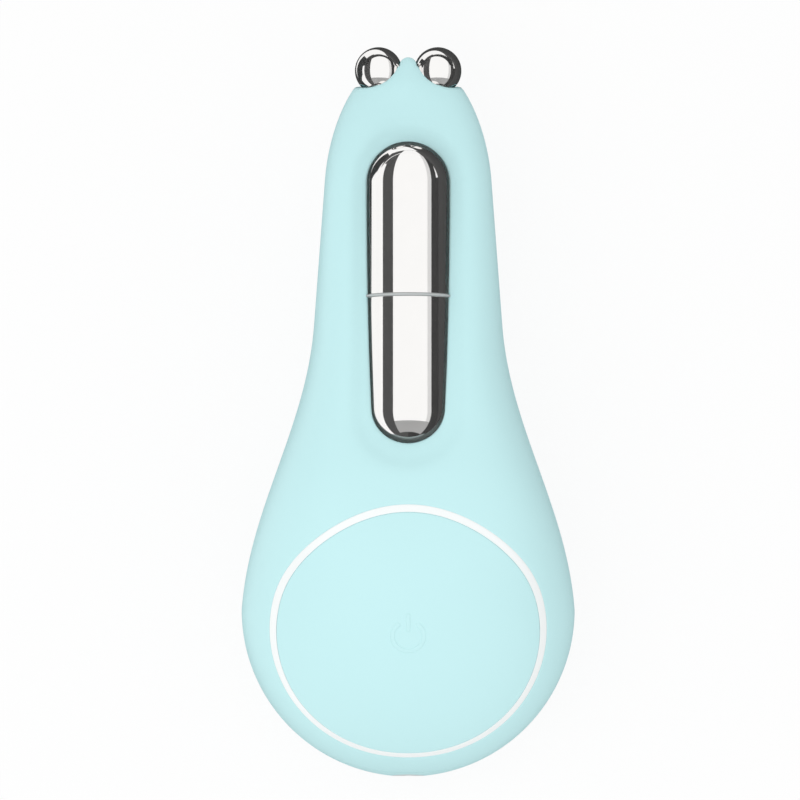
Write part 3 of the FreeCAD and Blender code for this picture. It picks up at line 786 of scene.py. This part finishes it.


# Light ring: the white band round the disc that the lamps shine through.
# Translucent white plastic, pressed into the opening flush with the skin; a faint painted glow
# lightens its shaded side.
RING_WIDTH = 0.9
RING_DEPTH = 1.8
RING_EDGE = 0.1
RING_ROWS = 6
PAINTED_RING_GLOW = 0.14
ring_white = finish("ring_white", (0.78, 0.81, 0.81), roughness=0.35, depth=0.001, tint=0.01)
ring_shader = ring_white.node_tree.nodes["Principled BSDF"]
# Painted glow: a faint even emission over the whole ring that lightens its shaded right and lower
# parts.
ring_shader.inputs["Emission Color"].default_value = (1.0, 1.0, 1.0, 1.0)
ring_shader.inputs["Emission Strength"].default_value = PAINTED_RING_GLOW
inner_radius = RING_RADIUS - RING_WIDTH
ring_radius = np.concatenate([
    [inner_radius],
    inner_radius + RING_EDGE * (1 - np.cos(quarter)),
    np.linspace(inner_radius + RING_EDGE, RING_RADIUS - RING_EDGE, RING_ROWS)[1:-1],
    RING_RADIUS - RING_EDGE * (1 - np.cos(quarter[::-1])),
    [RING_RADIUS, inner_radius],
])
ring_depth = np.concatenate([
    [RING_DEPTH],
    RING_EDGE * (1 - np.sin(quarter)),
    np.zeros(RING_ROWS - 2),
    RING_EDGE * (1 - np.sin(quarter[::-1])),
    [RING_DEPTH, RING_DEPTH],
])
points = disc_points(ring_radius[:, None], columns, ring_depth[:, None]).reshape(-1, 3)
faces = grid_faces(len(ring_radius), DISC_COLUMNS).tolist()
ring_piece = add_mesh("light_ring", points, faces, ring_white, "housing")
close_seams(ring_piece, 1)


# Button pad: the face of the front disc, which presses in as one piece.
# Silicone bonded to the hard carrier, with a plain power sign in low relief.
BUTTON_GAP = 0.03
PAD_EDGE = 0.08
PAD_POLE = 0.01
PAD_ROWS = 24
SIGN_FIELD = 5.2
SIGN_ROWS = 84
SIGN_RADIUS = 2.1
SIGN_SHIFT = 1.6
SIGN_GAP = np.radians(40)
SIGN_BAR = (0.9, 2.9)
SIGN_HALF_WIDTH = 0.26
SIGN_SOFTNESS = 0.1
SIGN_RELIEF = 0.1
pad_radius = inner_radius - BUTTON_GAP
pad_profile = np.concatenate([
    np.linspace(PAD_POLE, SIGN_FIELD, SIGN_ROWS),
    np.linspace(SIGN_FIELD, pad_radius - PAD_EDGE, PAD_ROWS)[1:-1],
    pad_radius - PAD_EDGE * (1 - np.cos(quarter[::-1])),
    [pad_radius, PAD_POLE],
])
pad_depth = np.concatenate([
    np.zeros(SIGN_ROWS + PAD_ROWS - 2),
    PAD_EDGE * (1 - np.sin(quarter[::-1])),
    [SKIN, SKIN],
])


def sign_relief(radius, turn):
    """Height of the power sign: a band of even width about an open circle and a short bar, with
    soft edges."""
    x, y = radius * np.cos(turn), radius * np.sin(turn) - SIGN_SHIFT
    from_top = np.abs(np.arctan2(x, y))
    end = SIGN_RADIUS * np.array([np.sin(SIGN_GAP), np.cos(SIGN_GAP)])
    to_end = np.hypot(np.abs(x) - end[0], y - end[1])
    to_circle = np.where(from_top > SIGN_GAP, np.abs(np.hypot(x, y) - SIGN_RADIUS), to_end)
    to_bar = np.hypot(x, y - np.clip(y, *SIGN_BAR))
    edge = SIGN_HALF_WIDTH - SIGN_SOFTNESS / 2
    return SIGN_RELIEF * (1 - smooth_step(np.minimum(to_circle, to_bar), edge, SIGN_SOFTNESS))


relief = sign_relief(pad_profile[:, None], columns)
relief[-2:] = 0
points = disc_points(pad_profile[:, None], columns, pad_depth[:, None] - relief).reshape(-1, 3)
faces = grid_faces(len(pad_profile), DISC_COLUMNS).tolist()
faces.append(list(range(DISC_COLUMNS)))
faces.append(list(range(len(points) - 1, len(points) - 1 - DISC_COLUMNS, -1)))
pad_piece = add_mesh("button_pad", points, faces, aqua_silicone, "button")
close_seams(pad_piece, 1)


# Floor and daylight: a white paper sheet under the device, in a white room.
# Both look plain white to the camera, to polished metal and through clear pieces; the sheet keeps
# a part of its own shading, so that the device's shadow shows.
DAYLIGHT = 0.8
FLOOR_HALF = 2.0
FLOOR_Z = -0.0001
SHEET_COLOR = (0.9, 0.9, 0.9, 1.0)
SHEET_ROUGHNESS = 0.9
SHEET_WHITE_SHARE = 0.9
WHITE = (1.0, 1.0, 1.0, 1.0)


def seen_white(tree, plain, kind, output, share=1.0):
    """White for what the camera and polished metal see, and a plain shader for the rest: the
    largest of the light path's three signs, times a share, mixes them."""
    nodes, links = tree.nodes, tree.links
    path = nodes.new("ShaderNodeLightPath")
    seen = path.outputs["Is Camera Ray"]
    for sign in ("Is Glossy Ray", "Is Transmission Ray"):
        either = nodes.new("ShaderNodeMath")
        either.operation = "MAXIMUM"
        links.new(seen, either.inputs[0])
        links.new(path.outputs[sign], either.inputs[1])
        seen = either.outputs[0]
    part = nodes.new("ShaderNodeMath")
    part.operation = "MULTIPLY"
    part.inputs[1].default_value = share
    links.new(seen, part.inputs[0])
    white = nodes.new(kind)
    white.inputs["Color"].default_value = WHITE
    white.inputs["Strength"].default_value = 1.0
    mix = nodes.new("ShaderNodeMixShader")
    links.new(part.outputs[0], mix.inputs[0])
    links.new(plain.outputs[0], mix.inputs[1])
    links.new(white.outputs[0], mix.inputs[2])
    links.new(mix.outputs[0], nodes[output].inputs["Surface"])


world = bpy.data.worlds.new("studio")
bpy.context.scene.world = world
world.use_nodes = True
daylight = world.node_tree.nodes["Background"]
daylight.inputs["Color"].default_value = WHITE
daylight.inputs["Strength"].default_value = DAYLIGHT
seen_white(world.node_tree, daylight, "ShaderNodeBackground", "World Output")

white_sheet = bpy.data.materials.new("white_sheet")
white_sheet.use_nodes = True
sheet_tree = white_sheet.node_tree
sheet_shader = sheet_tree.nodes["Principled BSDF"]
sheet_shader.inputs["Base Color"].default_value = SHEET_COLOR
sheet_shader.inputs["Roughness"].default_value = SHEET_ROUGHNESS
seen_white(sheet_tree, sheet_shader, "ShaderNodeEmission", "Material Output", SHEET_WHITE_SHARE)
floor_corners = np.array([(-1, -1, 0), (1, -1, 0), (1, 1, 0), (-1, 1, 0)]) * FLOOR_HALF
floor_mesh = bpy.data.meshes.new("floor_mesh")
floor_mesh.from_pydata((floor_corners + (0, 0, FLOOR_Z)).tolist(), [], [(0, 1, 2, 3)])
floor_mesh.materials.append(white_sheet)
floor = bpy.data.objects.new("floor", floor_mesh)
bpy.context.scene.collection.objects.link(floor)


# Painted reflections: a tent with windows, cards on the table and at the left side, fans beyond the
# head.
# Black, grey and pale sheets that only polished metal sees: they paint the chrome's dark and pale
# reflection bands and shade nothing.
TENT_RADIUS = 0.4
TENT_PLACE = (0, 0.03, 0.02)
TENT_ACROSS = np.linspace(-150, 150, 121)
TENT_ALONG = np.linspace(-88, 88, 89)
TENT_DROOP = np.radians(24)
WHITE_WINDOWS = ((-42.5, 55, -28, 90), (-105, -75, -60, 42), (85, 100, 14, 40))
PALE_WINDOW = (55, 67.5, -28, 90)
GREY_WINDOW = (-42.5, 67.5, -62, -28)
TABLE_CARD = ((0.4, -0.4), (0.4, 0.4), (0.176, 0.4), (-0.034, 0.05), (-0.034, -0.4))
TABLE_CARD_Z = 0.0002
SIDE_CARD = ((-0.02, 0), (0.095, 0), (0.095, 0.0195), (0.067, 0.0195), (0.059, 0.0105),
             (-0.02, 0.0105))
SIDE_CARD_X = -0.026
FAN_RADII = np.linspace(0.01, 0.062, 14)
FAN_COLUMNS = 60
FAN_Y = 0.072
FAN_Z = 0.0205
FAN_SLOPE = 0.03
FAN_GAP = 0.0002
DARK_FAN = (-75, 75)
WHITE_FAN = (-16, 30)
REFLECTION_SHEET_ROUGHNESS = 0.9
# Colours of the sheets: black, dark, pale and grey reflections painted into the chrome, seen by
# nothing else.
black_reflection_sheet = finish("black_reflection_sheet", (0.05, 0.05, 0.05), REFLECTION_SHEET_ROUGHNESS)
dark_reflection_sheet = finish("dark_reflection_sheet", (0.085, 0.085, 0.085), REFLECTION_SHEET_ROUGHNESS)
pale_reflection_sheet = finish("pale_reflection_sheet", (0.8, 0.8, 0.8), REFLECTION_SHEET_ROUGHNESS)
grey_reflection_sheet = finish("grey_reflection_sheet", (0.45, 0.45, 0.45), REFLECTION_SHEET_ROUGHNESS)
across, along = np.radians(np.meshgrid(TENT_ACROSS, TENT_ALONG, indexing="ij"))
droop = TENT_DROOP * np.maximum(along, 0) / (np.pi / 2)
ahead, up = np.sin(along), np.cos(across) * np.cos(along)
tent = np.stack([np.sin(across) * np.cos(along), ahead * np.cos(droop) + up * np.sin(droop),
                 up * np.cos(droop) - ahead * np.sin(droop)], axis=-1)
tent = (tent * TENT_RADIUS + TENT_PLACE).reshape(-1, 3).tolist()
tent_faces = grid_faces(*across.shape, wrap=False)
face_across = np.degrees(across.ravel()[tent_faces].mean(axis=1))
face_along = np.degrees(along.ravel()[tent_faces].mean(axis=1))


def in_window(left, right, low, high):
    """Which faces of the tent lie between two angles across the device and two along it."""
    between = (face_across > left) & (face_across < right)
    return between & (face_along > low) & (face_along < high)


def add_reflection_sheet(name, points, faces, sheet_look):
    """A sheet that only polished metal sees, painting a reflection into it; the camera, soft light
    and shadows pass it by.
    """
    mesh = bpy.data.meshes.new(name + "_mesh")
    mesh.from_pydata(points, [], faces)
    mesh.materials.append(sheet_look)
    flag = bpy.data.objects.new(name, mesh)
    bpy.context.scene.collection.objects.link(flag)
    flag.visible_camera = False
    flag.visible_diffuse = False
    flag.visible_shadow = False
    flag.visible_transmission = False


def head_fan(left, right, lift):
    """A fan of sheet beyond the head between two directions in degrees, sloping down as it goes
    out, for a reflection painted into the spheres."""
    turns = np.radians(np.linspace(left, right, FAN_COLUMNS))
    radius, turn = np.meshgrid(FAN_RADII, turns, indexing="ij")
    level = FAN_Z - FAN_SLOPE * (radius - FAN_RADII[0]) + lift
    fan = np.stack([radius * np.sin(turn), FAN_Y + radius * np.cos(turn), level], axis=-1)
    return fan.reshape(-1, 3).tolist()


# The tent's sheets paint the chrome's dark, grey and pale reflection bands; the white windows are
# gaps that let the white room show.
pale_faces, grey_faces = in_window(*PALE_WINDOW), in_window(*GREY_WINDOW)
white_faces = np.any([in_window(*window) for window in WHITE_WINDOWS], axis=0)
dark_faces = ~(pale_faces | grey_faces | white_faces)
add_reflection_sheet("left_dark_reflection", tent, tent_faces[dark_faces & (face_across < 0)].tolist(), dark_reflection_sheet)
add_reflection_sheet("right_dark_reflection", tent, tent_faces[dark_faces & (face_across > 0)].tolist(), black_reflection_sheet)
add_reflection_sheet("pale_reflection", tent, tent_faces[pale_faces].tolist(), pale_reflection_sheet)
add_reflection_sheet("grey_reflection", tent, tent_faces[grey_faces].tolist(), grey_reflection_sheet)
# A black card on the table, seen only in reflections: it paints dark shade into the chrome's lower
# rims where the white table would show.
table_card = [(x, y, TABLE_CARD_Z) for x, y in TABLE_CARD]
add_reflection_sheet("table_dark_reflection", table_card, [list(range(len(table_card)))], black_reflection_sheet)
# Two fans beyond the head, seen only in reflections: the black one paints dark shade and the white
# one above it a pale highlight into the spheres.
fan_faces = grid_faces(len(FAN_RADII), FAN_COLUMNS, wrap=False).tolist()
add_reflection_sheet("head_dark_reflection", head_fan(*DARK_FAN, 0), fan_faces, black_reflection_sheet)
add_reflection_sheet("head_white_reflection", head_fan(*WHITE_FAN, FAN_GAP), fan_faces, white_sheet)
# A black card at the left side, seen only in reflections: it paints a dark band into the spheres'
# left sides.
side_card = [(SIDE_CARD_X, y, z) for y, z in SIDE_CARD]
add_reflection_sheet("side_dark_reflection", side_card, [list(range(len(side_card)))], black_reflection_sheet)


# Two soft lamps: the main one high at the left and a weak one low at the lower right.
# Square diffusers on stands, aimed at the device; polished metal shows the painted reflection
# sheets in their place.
LAMP_SIZE = 0.4
LAMP_AIM = Vector((0, 0.025, 0.02))
MAIN_PLACE = (-0.2, -0.04, 0.46)
MAIN_ENERGY = 0.6
FILL_PLACE = (0.15, -0.2, 0.18)
FILL_ENERGY = 0.12


def add_lamp(name, place, energy):
    """A soft square lamp aimed at the device, which polished metal doesn't see."""
    data = bpy.data.lights.new(name, "AREA")
    data.size = LAMP_SIZE
    data.energy = energy
    lamp = bpy.data.objects.new(name, data)
    lamp.location = place
    lamp.rotation_euler = (lamp.location - LAMP_AIM).to_track_quat("Z", "Y").to_euler()
    lamp.visible_glossy = False
    bpy.context.scene.collection.objects.link(lamp)


add_lamp("main_lamp", MAIN_PLACE, MAIN_ENERGY)
add_lamp("fill_lamp", FILL_PLACE, FILL_ENERGY)


# Camera, straight above the device, with parallel rays and a frame of a given width.
# It looks down at the device's face with the head at the top of the picture.
FRAME_WIDTH = 0.10667
CAMERA_PLACE = (-0.00109, 0.028, 0.5)
camera_data = bpy.data.cameras.new("camera")
camera_data.type = "ORTHO"
camera_data.ortho_scale = FRAME_WIDTH
camera = bpy.data.objects.new("camera", camera_data)
camera.location = CAMERA_PLACE
bpy.context.scene.collection.objects.link(camera)
bpy.context.scene.camera = camera
bpy.context.scene.view_settings.view_transform = "Standard"
